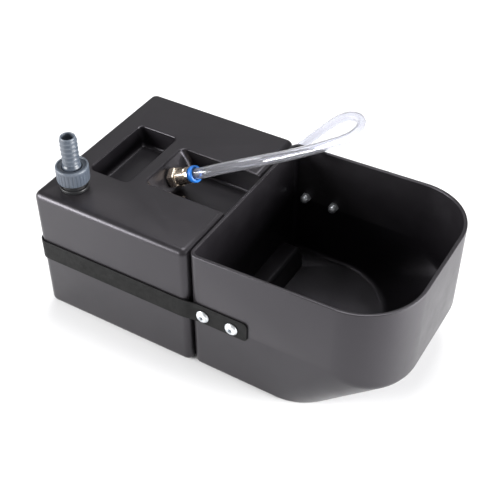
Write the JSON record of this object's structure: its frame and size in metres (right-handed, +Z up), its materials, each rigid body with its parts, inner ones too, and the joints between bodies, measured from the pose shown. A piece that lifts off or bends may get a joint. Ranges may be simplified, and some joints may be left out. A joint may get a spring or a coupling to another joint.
{
  "type": "livestock water trough",
  "caption": "Low drinking trough: a float-valve water tank strapped to an open bowl with a rounded, sloping front, with a hose inlet and a clear take-off tube.",
  "frame": {"origin": "middle of the trough's length and width, at its base", "axes": "+X from the tank to the bowl's front, +Y across, +Z up"},
  "size_m": [0.4112, 0.3648, 0.2172],
  "materials": {
    "charcoal": "moulded, fine satin grain",
    "strap_black": "matt",
    "rubber": "matt",
    "zinc": "zinc plated",
    "black_plastic": "moulded",
    "grey_pvc": "satin",
    "nickel": "nickel plated brass, turned",
    "brass": "turned",
    "blue": "acetal, satin",
    "float_foam": "closed-cell foam",
    "clear": "clear flexible PVC"
  },
  "bodies": {
    "trough": {"tank_shell": "charcoal", "base_cover": "charcoal", "bowl_shell": "charcoal", "strap": "strap_black", "base_gasket": "rubber", "inlet_gasket": "rubber", "tail_washer": "rubber", "fitting_washer": "rubber", "tube_seal": "rubber", "link_grommet": "rubber", "base_screw_1": "zinc", "base_screw_2": "zinc", "base_screw_3": "zinc", "base_screw_4": "zinc", "strap_screw_near_1": "zinc", "strap_screw_near_2": "zinc", "strap_screw_far_1": "zinc", "strap_screw_far_2": "zinc", "dome_nut_near_1": "zinc", "dome_nut_near_2": "zinc", "dome_nut_far_1": "zinc", "dome_nut_far_2": "zinc", "pivot_pin": "zinc", "grab_ring": "zinc", "valve_body": "black_plastic", "inlet_ring_nut": "black_plastic", "dip_tube": "black_plastic", "link_spigot": "black_plastic", "link_nut": "black_plastic", "hose_tail": "grey_pvc", "fitting_body": "nickel", "fitting_backnut": "brass", "clear_tube": "clear", "tube_coil": "clear"},
    "float_arm": {"float_lever": "brass", "float": "float_foam", "float_nut": "brass"},
    "plunger": {"valve_plunger": "brass", "valve_seal": "rubber"},
    "collar": {"release_collar": "blue"},
    "nut": {"union_nut": "grey_pvc"}
  },
  "joints": [
    {"name": "float_swing", "type": "hinge", "parent": "trough", "child": "float_arm", "pos_m": [-0.18365, -0.08, 0.094], "axis": [0, -1, 0], "range_deg": [-26, 0]},
    {"name": "plunger_travel", "type": "slide", "parent": "trough", "child": "plunger", "axis": [0, 0, 1], "range_m": [-0.006, 0]},
    {"name": "collar_press", "type": "slide", "parent": "trough", "child": "collar", "axis": [-0.866, 0, -0.5], "range_m": [0, 0.0015], "stiffness_N_per_m": 400, "springref_m": -0.0005},
    {"name": "nut_turn", "type": "hinge", "parent": "trough", "child": "nut", "pos_m": [-0.17115, -0.08, 0.17], "axis": [0, 0, 1], "continuous": true}
  ],
  "couplings": [
    {"joint": "plunger_travel", "follows": "float_swing", "m_per_rad": 0.0125}
  ]
}
